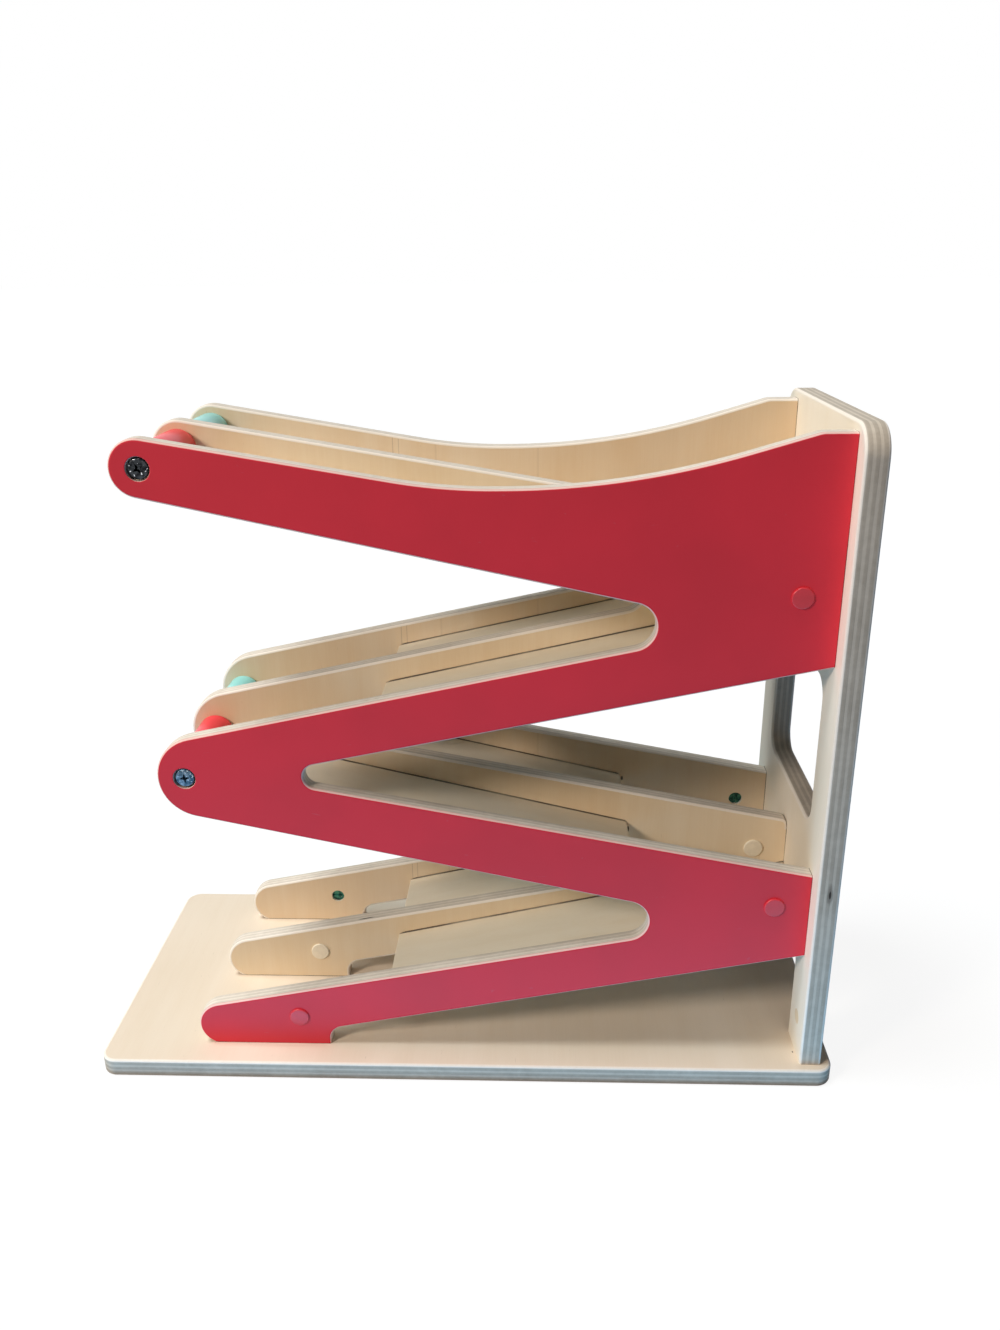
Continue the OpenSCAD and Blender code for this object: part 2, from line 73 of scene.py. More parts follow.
# Ramps
LANE_MIN = 40 * MM                   # edges longer than this across a ramp are those of its ends
RAMP_EASE = 0.35 * MM
RAMP_END_R = 1.0 * MM
FLAT_ANGLE = 0.001                   # faces that meet at a smaller angle, in radians, are one face
CORNER_ANGLE = 1.0                   # edges with a larger outer angle are a ramp's corners
FACE_RISE = 0.6                      # a ramp's broad faces have steeper normals than this

# Fasteners and rollers
TIE_SHANK_R = 3.0 * MM
TIE_HEAD_H = 2.6 * MM
SLEEVE_R = 4.0 * MM
SHANK_R = 2.0 * MM
BOLT_HEAD_H = 2.8 * MM
CAP_HEAD_H = 1.1 * MM
CAP_RIM_R = 0.6 * MM
ROLLER_BORE_R = 3.07 * MM
ROLLER_END_R = 1.0 * MM
ROUND_SIDES = 96
HEAD_SIDES = 48
SHANK_SIDES = 32
TIP_CHAMFER = 0.15                   # share of a shank's radius
# Head shapes, as shares of the head's radius and height
HEAD_FOOT = (0.98, 0.06)             # radius at the seat, height of the chamfer there
SHOULDER_IN = 0.82
SHOULDER_FOOT = 0.45
SHOULDER_TOP = 0.92
CROWN_R = 0.7
CROSS_FLOOR = (0.18, 0.10, 0.3)      # half length, half width, height
CROSS_MOUTH = (0.64, 0.24, 1.2)

# Colours, as linear values
PALE_BIRCH = (0.90, 0.76, 0.57)
DEEP_BIRCH = (0.80, 0.61, 0.39)
GOLD_BIRCH = (0.88, 0.74, 0.57)
DARK_BIRCH = (0.79, 0.59, 0.38)
WHITE_BIRCH = (0.95, 0.87, 0.76)
CREAM_BIRCH = (0.88, 0.78, 0.64)
BASE_BIRCH = (0.85, 0.74, 0.62)
TAN_BIRCH = (0.77, 0.64, 0.50)
PALE_RAMP = (0.90, 0.82, 0.69)
DEEP_RAMP = (0.80, 0.69, 0.53)
FACE_PLY = (0.93, 0.85, 0.77)
PANEL_PLY = ((0.84, 0.76, 0.67), (0.58, 0.50, 0.42))
BOARD_PLY = ((0.67, 0.59, 0.50), (0.37, 0.31, 0.25))
GLUE_LINE = (0.20, 0.16, 0.12)
SEAM_COLOUR = (0.30, 0.20, 0.12)
# Painted shade in the thin gaps where one board stands against another
GAP_SHADE_COLOUR = (0.05, 0.025, 0.02)
# Dark marks: knots in the wood, and painted shade in small hollows
MARK_AND_SHADE_COLOUR = (0.03, 0.02, 0.015)
CRIMSON = (0.76, 0.029, 0.050)
WORN_CRIMSON = (0.62, 0.16, 0.2)
AQUA = (0.36, 0.66, 0.62)
WORN_AQUA = (0.6, 0.75, 0.72)
CORAL = (0.88, 0.045, 0.065)
PALE_AQUA = (0.32, 0.78, 0.76)
RED_CAP = (0.70, 0.028, 0.049)
NATURAL_CAP = (0.95, 0.86, 0.70)
BLACK_STEEL = ((0.012, 0.013, 0.015), (0.05, 0.055, 0.06))
ZINC_STEEL = ((0.42, 0.50, 0.58), (0.26, 0.34, 0.44))
BLUE_STEEL = ((0.13, 0.19, 0.25), (0.02, 0.05, 0.08))
GREEN_STEEL = ((0.10, 0.34, 0.27), (0.03, 0.11, 0.10))
# Painted glints on the dark heads and nuts, partly worn spots of plain steel
GLINT_STEEL = (0.75, 0.78, 0.82)

# Dark marks, as (centre, half sizes, strength), in millimetres: knots and other marks in the wood, and
# painted shade in the open ends of grooves
# Painted shade in the open end of a groove just past a ramp's end, on the middle and rear panels
MIDDLE_GROOVE_SHADE = (((92.4, -6.9, 114.2), (0.9, 1, 2.2), 0.95),)
REAR_GROOVE_SHADE = (((93.2, 53.1, 116.2), (0.9, 1, 1.8), 0.9),)
BASE_MARKS = (((180.9, -68.0, 10.5), (0.4, 0.9, 1), 0.9), ((182.6, -68.8, 10.5), (0.3, 0.7, 1), 0.8))
EDGE_MARKS = (((-61.2, -4.7, 50.9), (6, 0.6, 4), 0.9),)
POST_MARKS = (((188.6, -78, 117.3), (2.0, 6, 7), 0.45), ((188.6, -78, 117.3), (0.8, 4, 3.2), 0.95))
# Joints between sheets of veneer, as (place, half width, strength)
PANEL_SEAMS = ((-40.4, 0.2, 0.38), (-37.1, 0.2, 0.32), (-16.4, 0.5, 0.10), (40.8, 0.6, 0.08))
# Widths of the painted shade in the thin gaps between boards, in millimetres
PANEL_GAP_SHADE = 0.35
RAMP_GAP_SHADE = 0.8

# Light
AMBIENT_COLOUR = (1.0, 0.82, 0.68)
AMBIENT_LEVEL = 0.03
BOUNCE_COLOUR = (0.22, 0.61, 1.0)
BOUNCE_LEVEL = 1.0
FLOOR_HALF = 20                      # metres from its middle to each side
FLOOR_DROP = 0.2 * MM
FLOOR_COLOUR = (0.12, 0.13, 0.15)
FLOOR_SEEN = (0.9, 0.9, 0.9)
FLOOR_GLOW = 0.85
FLOOR_WHITE = 1.07
OBJECT_MIDDLE = Vector((0, 0, 0.17))

# Camera: the photograph's own view. The focal length is in pixels of a 1000 x 1330 frame.
FOCAL_PX = 1070.73
FRAME_H_PX = 1330
PITCH, YAW, ROLL = 0.3628, 0.0400, -0.0126
CAMERA_PLACE = (0.04216, -0.54740, 0.41949)


def grid_faces(rows, columns, closed=False):
    """Quads between neighbouring points of a grid whose rows are rings, as one array of corner
    numbers. A closed grid's last ring is joined to its first."""
    row = np.arange(rows if closed else rows - 1)[:, None]
    column = np.arange(columns)[None, :]
    below = (row + 1) % rows
    right = (column + 1) % columns
    corners = [line * columns + place for line, place in
               ((row, column), (row, right), (below, right), (below, column))]
    return np.stack(np.broadcast_arrays(*corners), axis=-1).reshape(-1, 4)


def turned(profile, sides, closed=False):
    """Surface of revolution about Z: each (radius, height) of the profile becomes a ring of points,
    radius * cos, radius * sin, height. A closed profile joins its last ring to its first."""
    radius, height = np.array(profile, float).T[:, :, None]
    turn = np.linspace(0, 2 * math.pi, sides, endpoint=False)
    points = np.stack(np.broadcast_arrays(radius * np.cos(turn), radius * np.sin(turn), height), axis=-1)
    return points.reshape(-1, 3), grid_faces(len(profile), sides, closed)


def facing(direction, turn=0.0):
    """Rotation that takes +Z to a direction along one of the axes, after a turn about Z."""
    along = Vector((0, 0, 1)).rotation_difference(Vector(direction)).to_matrix()
    return np.array(along @ Matrix.Rotation(turn, 3, "Z"))


def placed(part, origin, direction, turn=0.0):
    """A part turned to face along a direction and moved to its origin."""
    points, faces = part
    return points @ facing(direction, turn).T + np.array(origin), faces


def joined(parts):
    """Several parts as one list of points and one list of faces."""
    points = []
    faces = []
    count = 0
    for part_points, part_faces in parts:
        points.append(part_points)
        faces.extend([[int(corner) + count for corner in face] for face in part_faces])
        count += len(part_points)
    return np.concatenate(points), faces


def added(name, data):
    """A new object in the scene."""
    made = bpy.data.objects.new(name, data)
    bpy.context.scene.collection.objects.link(made)
    return made


def shaded(mesh):
    """Smooth shading with sharp edges where two faces meet at a wide angle or change finish."""
    work = bmesh.new()
    work.from_mesh(mesh)
    for edge in work.edges:
        faces = edge.link_faces
        if len(faces) == 2:
            same = faces[0].material_index == faces[1].material_index
            edge.smooth = same and edge.calc_face_angle() < SMOOTH_UNDER
    for face in work.faces:
        face.smooth = True
    work.to_mesh(mesh)
    work.free()


def piece(name, mesh, body, node, materials):
    """Puts a finished mesh into the scene in a CAD node's place, as a piece that rides on a body."""
    shaded(mesh)
    made = added(name, mesh)
    if not mesh.materials:
        for material in materials:
            mesh.materials.append(material)
    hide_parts(node)
    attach(made, body)


def cleaned(mesh, outwards=False):
    """A mesh with its doubles merged and slivers gone, and its faces turned outwards if asked."""
    work = bmesh.new()
    work.from_mesh(mesh)
    bmesh.ops.remove_doubles(work, verts=work.verts, dist=MERGE)
    bmesh.ops.dissolve_degenerate(work, edges=work.edges, dist=MERGE)
    if outwards:
        bmesh.ops.recalc_face_normals(work, faces=work.faces)
    work.to_mesh(mesh)
    work.free()
    return mesh


def mesh_of(name, part):
    """A clean mesh from points and faces, with its faces turned outwards."""
    points, faces = part
    mesh = bpy.data.meshes.new(name)
    mesh.from_pydata(points.tolist(), [], [list(map(int, face)) for face in faces])
    return cleaned(mesh, outwards=True)


def merged_copy(node):
    """The CAD node's mesh as a bmesh, with its loose triangles joined."""
    work = bmesh.new()
    work.from_mesh(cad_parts[node].data)
    bmesh.ops.remove_doubles(work, verts=work.verts, dist=MERGE)
    return work


def solid_boxes(node):
    """Lowest and highest corners of each separate solid in a CAD node, from left to right, then
    front to rear, then bottom to top."""
    work = merged_copy(node)
    left = set(work.verts)
    boxes = []
    for vert in work.verts:
        if vert not in left:
            continue
        left.discard(vert)
        island = [vert]
        for seen in island:
            for edge in seen.link_edges:
                other = edge.other_vert(seen)
                if other in left:
                    left.discard(other)
                    island.append(other)
        points = np.array([v.co for v in island])
        boxes.append((points.min(axis=0), points.max(axis=0)))
    work.free()
    return sorted(boxes, key=lambda box: tuple(np.round(box[0], 5)))


def on_plane(vert, axis, level):
    """Whether a vertex lies on the plane across an axis at a level."""
    return abs(vert.co[axis] - level) < MERGE


def face_loops(work, axis, level):
    """Closed rims of a board's flat face, each as the half-edges that run round it with the wood on
    their left."""
    flat = [face for face in work.faces if all(on_plane(vert, axis, level) for vert in face.verts)]
    known = set(flat)
    rim = {loop.vert: loop for face in flat for loop in face.loops
           if loop.link_loop_radial_next.face not in known}
    rims = []
    while rim:
        first = next(iter(rim))
        chain = [rim.pop(first)]
        while chain[-1].link_loop_next.vert != first:
            chain.append(rim.pop(chain[-1].link_loop_next.vert))
        rims.append(chain)
    return rims


def wall_under(face):
    """The faces that lie in one plane with a face and are joined to it edge by edge."""
    wall = [face]
    for seen in wall:
        for edge in seen.edges:
            wall += [other for other in edge.link_faces
                     if other not in wall and other.normal.dot(face.normal) > SAME_PLANE]
    return wall


def eased_runs(chain, axis, opposite, square_planes):
    """The stretches of a rim that the router follows, as (points, closed). An edge is routed where
    the wall under it runs through to the board's other face and isn't one of the board's square
    ends, which stand against another board. The edges of grooves are left out."""
    def routed(loop):
        verts = (loop.vert, loop.link_loop_next.vert)
        if any(all(on_plane(vert, a, level) for vert in verts) for a, level in square_planes):
            return False
        wall = wall_under(loop.link_loop_radial_next.face)
        return any(on_plane(vert, axis, opposite) for face in wall for vert in face.verts)

    points = np.array([loop.vert.co for loop in chain])
    marks = np.array([routed(loop) for loop in chain])
    if marks.all():
        return [(points, True)]
    if not marks.any():
        return []
    first = int(np.flatnonzero(marks & ~np.roll(marks, 1))[0])
    points = np.roll(points, -first, axis=0)
    marks = np.roll(marks, -first)
    starts = np.flatnonzero(marks & ~np.roll(marks, 1))
    ends = np.flatnonzero(marks & ~np.roll(marks, -1)) + 1
    return [(points[np.arange(a, b + 1) % len(points)], False) for a, b in zip(starts, ends)]


def router_profile(r):
    """What a rounding-over cutter takes off a corner, as (inset, depth) points: the quarter circle
    inset = r - r sin a, depth = r - r cos a without its two ends, whose chords go on past the wood,
    closed by a point outside the corner."""
    a = np.linspace(0, math.pi / 2, EASE_STEPS + 1)
    arc = r * np.stack([1 - np.sin(a), 1 - np.cos(a)], axis=-1)
    def beyond(inner, end):
        step = end - inner
        return end + step / np.linalg.norm(step) * CUTTER_PAST
    outside = np.full((1, 2), -CUTTER_PAST)
    return np.concatenate([[beyond(arc[1], arc[0])], arc[1:-1], [beyond(arc[-2], arc[-1])], outside])


def clear_of_corners(path, closed, r):
    """A path without the points that the profile's mitre at a sharp corner would cross: those
    nearer to it than reach * tan(turn / 2)."""
    step = np.roll(path, -1, axis=0) - path
    along = step / np.linalg.norm(step, axis=1, keepdims=True)
    turn = np.arccos(np.clip((along * np.roll(along, 1, axis=0)).sum(axis=1), -1, 1))
    if not closed:
        turn[[0, -1]] = 0
    reach = np.where(turn > SHARP_TURN, (r + CUTTER_PAST) * np.tan(turn / 2), 0)
    apart = np.linalg.norm(path[:, None] - path, axis=-1)
    crossed = ((apart > 0) & (apart < reach[:, None])).any(axis=0)
    return path[~crossed]


def easing_cutter(path, closed, outward, r):
    """The router's profile carried along a rim. Each path point moves by the inset along the mitre
    of its two edges' inward normals, (i + j) / (1 + i.j), and by the depth against the face's
    outward normal."""
    path = clear_of_corners(path, closed, r)
    following = np.roll(path, -1, axis=0) - path
    tangent = following / np.linalg.norm(following, axis=1, keepdims=True)
    if not closed:
        tangent[-1] = tangent[-2]
        path[0] -= tangent[0] * RUN_PAST
        path[-1] += tangent[-1] * RUN_PAST
    inward = np.cross(outward, tangent)
    before = np.roll(inward, 1, axis=0)
    if not closed:
        before[0] = inward[0]
    mitre = (inward + before) / (1 + (inward * before).sum(axis=1, keepdims=True))
    inset, depth = router_profile(r).T[:, None, :, None]
    points = path[:, None] + mitre[:, None] * inset - outward * depth
    count, size = points.shape[:2]
    faces = grid_faces(count, size, closed).tolist()
    if not closed:
        faces.append(list(range(size))[::-1])
        faces.append(list(range((count - 1) * size, count * size)))
    return points.reshape(-1, 3), faces


def routed_board(node, axis, square_planes, finishes):
    """A CAD board with its outline and windows rounded over on both faces, but for its square ends,
    and with the rims of its wider holes broken. Its finishes are those of the face at the low end of
    the axis, of the face at the high end, and of the plies."""
    low, high = (corner[axis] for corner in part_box(node))
    work = merged_copy(node)
    cutters = []
    for level, opposite, side in ((low, high, -1), (high, low, 1)):
        outward = np.zeros(3)
        outward[axis] = side
        for chain in face_loops(work, axis, level):
            length = sum(loop.edge.calc_length() for loop in chain)
            if length > LOOP_MIN:
                for path, closed in eased_runs(chain, axis, opposite, square_planes):
                    cutters.append(easing_cutter(path, closed, outward, EASE_R))
            elif length > RIM_MIN:
                rim = np.array([loop.vert.co for loop in chain])
                cutters.append(easing_cutter(rim, True, outward, RIM_R))
    for face in work.faces:
        flat = [all(on_plane(vert, axis, level) for vert in face.verts) for level in (low, high)]
        face.material_index = flat.index(True) if any(flat) else 2
    board_mesh = bpy.data.meshes.new(node + "_blank")
    work.to_mesh(board_mesh)
    work.free()
    cutter_mesh = mesh_of(node + "_cutter", joined(cutters))
    cutter_mesh.polygons.foreach_set("material_index", np.full(len(cutter_mesh.polygons), 2, np.int32))
    for mesh in (board_mesh, cutter_mesh):
        for finish in finishes:
            mesh.materials.append(finish)
    result = cleaned(subtracted(node + "_routed", board_mesh, [cutter_mesh]))
    piece(node + "_routed", result, "ramp_frame", node, finishes)


def head_profile(r, h):
    """Profile of a pan head that stands on z = 0: up its side, round its shoulder by a quarter
    ellipse, and in over its low crown, which sinks by the square of the distance from its middle."""
    shoulder_r = SHOULDER_IN + (1 - SHOULDER_IN) * np.cos(QUARTER_TURN)
    shoulder_h = SHOULDER_FOOT + (SHOULDER_TOP - SHOULDER_FOOT) * np.sin(QUARTER_TURN)
    crown_r = np.linspace(CROWN_R, 0, 5)
    crown_h = 1 - (1 - SHOULDER_TOP) * (crown_r / SHOULDER_IN) ** 2
    foot_r, foot_h = HEAD_FOOT
    shares = np.concatenate([[(foot_r, 0), (1, foot_h)], np.stack([shoulder_r, shoulder_h], axis=-1),
                             np.stack([crown_r, crown_h], axis=-1)])
    return shares * (r, h)


def cross_cutter(r, h):
    """A cross recess that narrows as it goes down: two crossed bars of rhombus section, each long at
    its mouth above the head and short at its floor."""
    rings = []
    for half_l, half_w, z in (CROSS_FLOOR, CROSS_MOUTH):
        rings += [(-half_l, 0, z), (0, -half_w, z), (half_l, 0, z), (0, half_w, z)]
    points = np.array(rings) * (r, r, h)
    faces = grid_faces(2, 4).tolist() + [[3, 2, 1, 0], [4, 5, 6, 7]]
    return [(points @ np.array(Matrix.Rotation(turn, 3, "Z")).T, faces) for turn in (0, math.pi / 2)]


def subtracted(name, body_mesh, cutter_meshes):
    """A mesh with others cut out of it."""
    body = added(name, body_mesh)
    cutters = []
    for number, mesh in enumerate(cutter_meshes):
        cutter = added(f"{name}_cutter_{number}", mesh)
        cut = body.modifiers.new(cutter.name, "BOOLEAN")
        cut.operation = "DIFFERENCE"
        cut.solver = "EXACT"
        cut.object = cutter
        cutters.append(cutter)
    result = bpy.data.meshes.new_from_object(body.evaluated_get(bpy.context.evaluated_depsgraph_get()))
    for made in [body, *cutters]:
        bpy.data.objects.remove(made)
    return result


def recessed_head(r, h):
    """A pan head with its cross recess, seat on z = 0, as points and faces."""
    profile = np.concatenate([[(0, 0)], head_profile(r, h)])
    head = mesh_of("head", turned(profile, HEAD_SIDES))
    cut = subtracted("head", head, [mesh_of("bar", bar) for bar in cross_cutter(r, h)])
    points = np.empty(len(cut.vertices) * 3)
    cut.vertices.foreach_get("co", points)
    return points.reshape(-1, 3), [list(polygon.vertices) for polygon in cut.polygons]


def shank(r, length):
    """A plain shank that goes down from z = 0, with a small chamfer at its tip."""
    chamfer = TIP_CHAMFER * r
    profile = [(0, -length), (r - chamfer, -length), (r, chamfer - length), (r, 0), (0, 0)]
    return turned(profile, SHANK_SIDES)


def bolt_in_box(box, direction, head_h, shank_r, turn):
    """A bolt whose head faces along a direction, built to fill a CAD solid's box."""
    low, high = box
    axis = int(np.argmax(np.abs(direction)))
    top = high[axis] if direction[axis] > 0 else low[axis]
    across = (axis + 1) % 3
    head_r = (high[across] - low[across]) / 2
    origin = (low + high) / 2
    origin[axis] = top - direction[axis] * head_h
    length = high[axis] - low[axis] - head_h
    return [placed(recessed_head(head_r, head_h), origin, direction, turn),
            placed(shank(shank_r, length), origin, direction)]


def bolts(node, direction, head_h, shank_r, turns, finish):
    """All the bolts of one CAD node as one piece. Each head's cross is turned by its own angle, in
    radians, from the list of turns."""
    parts = []
    for number, box in enumerate(solid_boxes(node)):
        parts += bolt_in_box(box, np.array(direction, float), head_h, shank_r, turns[number % len(turns)])
    piece(node + "_turned", mesh_of(node, joined(parts)), "ramp_frame", node, [finish])


def caps(node, direction, finish):
    """Hole caps: a low disc with a rounded rim on a stem."""
    direction = np.array(direction, float)
    rim_circle = CAP_RIM_R * np.stack([np.cos(QUARTER_TURN), np.sin(QUARTER_TURN)], axis=-1)
    parts = []
    for low, high in solid_boxes(node):
        r = (high[X] - low[X]) / 2
        stem = high[Y] - low[Y] - CAP_HEAD_H
        origin = (low + high) / 2
        origin[Y] = (low[Y] + CAP_HEAD_H) if direction[Y] < 0 else (high[Y] - CAP_HEAD_H)
        rim = np.array([r, CAP_HEAD_H]) - CAP_RIM_R + rim_circle
        profile = [(0, -stem), (SLEEVE_R, -stem), (SLEEVE_R, 0), (r, 0), *rim, (0, CAP_HEAD_H)]
        parts.append(placed(turned(profile, ROUND_SIDES), origin, direction))
    piece(node + "_moulded", mesh_of(node, joined(parts)), "ramp_frame", node, [finish])


def roller(node, finish):
    """A round bar with a bore and rounded ends, turned about the tie bolt it runs on."""
    low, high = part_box(node)
    r = (high.z - low.z) / 2
    half = (high.y - low.y) / 2
    end_r = r - ROLLER_END_R * (1 - np.cos(QUARTER_TURN))
    end_z = half - ROLLER_END_R * (1 - np.sin(QUARTER_TURN))
    top = np.stack([end_r, end_z], axis=-1)
    profile = np.concatenate([[(ROLLER_BORE_R, -half)], top[::-1] * (1, -1), top, [(ROLLER_BORE_R, half)]])
    origin = np.array((low + high) / 2)
    part = placed(turned(profile, ROUND_SIDES, closed=True), origin, (0, 1, 0))
    piece(node + "_lacquered", mesh_of(node, part), node + "_body", node, [finish])


def eased_ramp(node, finishes):
    """A ramp with its outer corners broken: widest across its free ends, narrow along its sides."""
    work = merged_copy(node)
    bmesh.ops.dissolve_limit(work, angle_limit=FLAT_ANGLE, verts=work.verts, edges=work.edges)
    def corners(across):
        return [edge for edge in work.edges if edge.calc_face_angle_signed() > CORNER_ANGLE
                and (abs(edge.verts[0].co.y - edge.verts[1].co.y) > LANE_MIN) == across]
    bmesh.ops.bevel(work, geom=corners(True), offset=RAMP_END_R, segments=4, profile=0.5, affect="EDGES")
    bmesh.ops.bevel(work, geom=corners(False), offset=RAMP_EASE, segments=2, profile=0.5, affect="EDGES")
    mesh = bpy.data.meshes.new(node + "_eased")
    for face in work.faces:
        face.material_index = 0 if abs(face.normal.z) > FACE_RISE else 1
    work.to_mesh(mesh)
    work.free()
    piece(node + "_eased", mesh, "ramp_frame", node, finishes)


class Number:
    """A socket that carries a number. Arithmetic on it adds Math nodes to its finish."""

    def __init__(self, finish, socket):
        self.finish = finish
        self.socket = socket

    def maths(self, operation, *values):
        """The number that a Math node makes from its values."""
        return self.finish.number("ShaderNodeMath", {"operation": operation}, dict(enumerate(values)))

    def __add__(self, other):
        return self.maths("ADD", self, other)

    def __sub__(self, other):
        return self.maths("SUBTRACT", self, other)

    def __rsub__(self, other):
        return self.maths("SUBTRACT", other, self)

    def __mul__(self, other):
        return self.maths("MULTIPLY", self, other)

    def __truediv__(self, other):
        return self.maths("DIVIDE", self, other)

    def __lt__(self, other):
        return self.maths("LESS_THAN", self, other)

    __radd__ = __add__
    __rmul__ = __mul__

    def size(self):
        return self.maths("ABSOLUTE", self)

    def sine(self):
        return self.maths("SINE", self)

    def larger(self, other):
        return self.maths("MAXIMUM", self, other)

    def between(self, low, high):
        """0 below low, 1 above high, and a smooth rise from one to the other."""
        return self.finish.number("ShaderNodeMapRange", {"interpolation_type": "SMOOTHSTEP"},
                                  {"Value": self, "From Min": low, "From Max": high})


class Finish:
    """A material or world being made: its shader's constants, and short ways to the nodes that feed
    it."""

    def __init__(self, name, constants, world=None):
        self.material = world or bpy.data.materials.new(name)
        self.material.use_nodes = True
        self.tree = self.material.node_tree
        self.shader = self.tree.nodes.get("Principled BSDF")
        self.coordinates = self.node("ShaderNodeTexCoord").outputs["Object"]
        for socket, value in constants.items():
            self.join(value, self.shader.inputs[socket])

    def join(self, value, socket):
        """Links a socket or a Number to an input, or sets the input to a constant."""
        if isinstance(value, Number):
            value = value.socket
        if isinstance(value, bpy.types.NodeSocket):
            self.tree.links.new(value, socket)
        elif isinstance(value, tuple) and socket.type == "RGBA":
            socket.default_value = (*value, 1.0)
        else:
            socket.default_value = value

    def node(self, kind, settings=None, inputs=None):
        """A node of a kind with its settings, such as an operation, and then the values or links of
        its sockets."""
        made = self.tree.nodes.new(kind)
        for name, value in (settings or {}).items():
            setattr(made, name, value)
        for name, value in (inputs or {}).items():
            self.join(value, made.inputs[name])
        return made

    def number(self, kind, settings, inputs):
        """The first output of a node of a kind, as a number."""
        return Number(self, self.node(kind, settings, inputs).outputs[0])

    def vector(self, operation, *values):
        """The outputs of a Vector Math node."""
        return self.node("ShaderNodeVectorMath", {"operation": operation}, dict(enumerate(values))).outputs

    def axes(self):
        """The three object coordinates, in millimetres."""
        split = self.node("ShaderNodeSeparateXYZ", None, {0: self.scaled((1 / MM, 1 / MM, 1 / MM))})
        return [Number(self, split.outputs[axis]) for axis in (X, Y, Z)]

    def scaled(self, per_metre, shift=(0, 0, 0)):
        """Object coordinates moved by a shift, then multiplied axis by axis."""
        moved = self.vector("ADD", self.coordinates, shift)[0]
        return self.vector("MULTIPLY", moved, per_metre)[0]

    def noise(self, per_metre, detail, roughness=0.5, distortion=0.0, shift=(0, 0, 0)):
        """Noise with so many features per metre along each axis, or along all of them."""
        if not isinstance(per_metre, tuple):
            per_metre = (per_metre,) * 3
        return self.number("ShaderNodeTexNoise", None, {
            "Vector": self.scaled(per_metre, shift), "Scale": 1.0, "Detail": detail,
            "Roughness": roughness, "Distortion": distortion})

    def mix(self, factor, first, second):
        """A colour that goes from the first to the second as the factor goes from 0 to 1."""
        return self.node("ShaderNodeMix", {"data_type": "RGBA", "clamp_factor": True},
                         {0: factor, 6: first, 7: second}).outputs[2]

    def gap_shaded(self, colour, planes, width=PANEL_GAP_SHADE):
        """A colour with painted shade in the thin gap along each plane where another board stands
        against it, given as (axis, place, side of the board that it is on)."""
        axes = self.axes()
        strength = self.noise(30, 2).between(0.30, 0.62) * 0.5 + 0.35
        for axis, place, side in planes:
            near = (axes[axis] - place / MM) * -side < width
            colour = self.mix(near * strength, colour, GAP_SHADE_COLOUR)
        return colour

    def marked(self, colour, marks, ragged):
        """A colour with dark marks such as knots, and painted shade in small hollows. Each is an
        ellipsoid with a ragged edge, given as (centre, half sizes, strength), in millimetres."""
        for centre, halves, strength in marks:
            offset = self.scaled([1 / (half * MM) for half in halves], [-c * MM for c in centre])
            away = Number(self, self.vector("LENGTH", offset)["Value"])
            inside = 1 - (away + ragged).between(0.5, 1.0)
            colour = self.mix(inside * strength, colour, MARK_AND_SHADE_COLOUR)
        return colour

    def seen(self):
        """1 for rays from the camera and from glossy or clear surfaces, 0 for the rest."""
        rays = self.node("ShaderNodeLightPath").outputs
        camera, glossy, clear = (Number(self, rays[f"Is {kind} Ray"])
                                 for kind in ("Camera", "Glossy", "Transmission"))
        return camera.larger(glossy).larger(clear)

    def bump(self, height, depth):
        """Feeds the shader's normal from a height that goes from 0 to 1, so many millimetres deep."""
        made = self.node("ShaderNodeBump", None, {"Height": height, "Distance": depth * MM})
        self.tree.links.new(made.outputs["Normal"], self.shader.inputs["Normal"])

    def show(self, factor, first, second, output):
        """Feeds an output node from the first shader to the second as the factor goes from 0 to 1."""
        shaders = {0: factor, 1: first.outputs[0], 2: second.outputs[0]}
        mixed = self.node("ShaderNodeMixShader", None, shaders)
        self.join(mixed.outputs[0], self.tree.nodes[output].inputs["Surface"])

    def feed(self, **sockets):
        """Links the shader's varying inputs, named with underscores for spaces."""
        for name, value in sockets.items():
            self.join(value, self.shader.inputs[name.replace("_", " ")])
        return self.material


def stretched(axis, along, across):
    """Features per metre: few along the grain's axis, many across it."""
    return tuple(along if a == axis else across for a in (X, Y, Z))


def tinted(colour, share):
    """A colour made darker or lighter by a share of itself."""
    return tuple(min(1, share * c) for c in colour)


def veneer(name, grain, pale, deep, shift=(0, 0, 0), seams=(), marks=(), joints=(), gap_shade_width=PANEL_GAP_SHADE):
    """Rotary-cut birch: broad soft figure and fine fibres along the grain, a few short darker
    flecks, dark marks, some of them painted shade in hollows, the thin dark joints between sheets
    at given places across it, in millimetres, and painted shade in the gaps where other boards
    stand against it."""
    finish = Finish(name, {"Specular IOR Level": 0.3})
    figure = finish.noise(stretched(grain, 3, 12), 3, 0.5, 1.0, shift)
    waves = (figure * 20).sine() * 0.5 + 0.5
    fibres = finish.noise(stretched(grain, 60, 1500), 4, 0.65, 0, shift)
    broad = finish.noise(stretched(grain, 5, 10), 2, 0.5, 0.6, shift)
    streaks = finish.noise(stretched(grain, 14, 160), 3, 0.5, 0, shift)
    flecks = finish.noise(stretched(grain, 160, 1000), 2, 0.5, 0, shift).between(0.72, 0.80)
    tone = broad * 0.6 + waves * 0.12 + streaks * 0.25 + fibres * 0.18
    colour = finish.mix(tone.between(0.25, 0.95), pale, deep)
    colour = finish.mix(flecks * 0.3, colour, tinted(deep, 0.6))
    across = finish.axes()[Y if grain == X else X]
    for place, width, strength in seams:
        line = ((across - place).size() < width) * strength
        colour = finish.mix(line, colour, SEAM_COLOUR)
    colour = finish.marked(colour, marks, (fibres - 0.5) * 0.8)
    colour = finish.gap_shaded(colour, joints, gap_shade_width)
    finish.bump(fibres + streaks * 0.4, 0.05)
    return finish.feed(Base_Color=colour, Roughness=0.46 + fibres * 0.16)


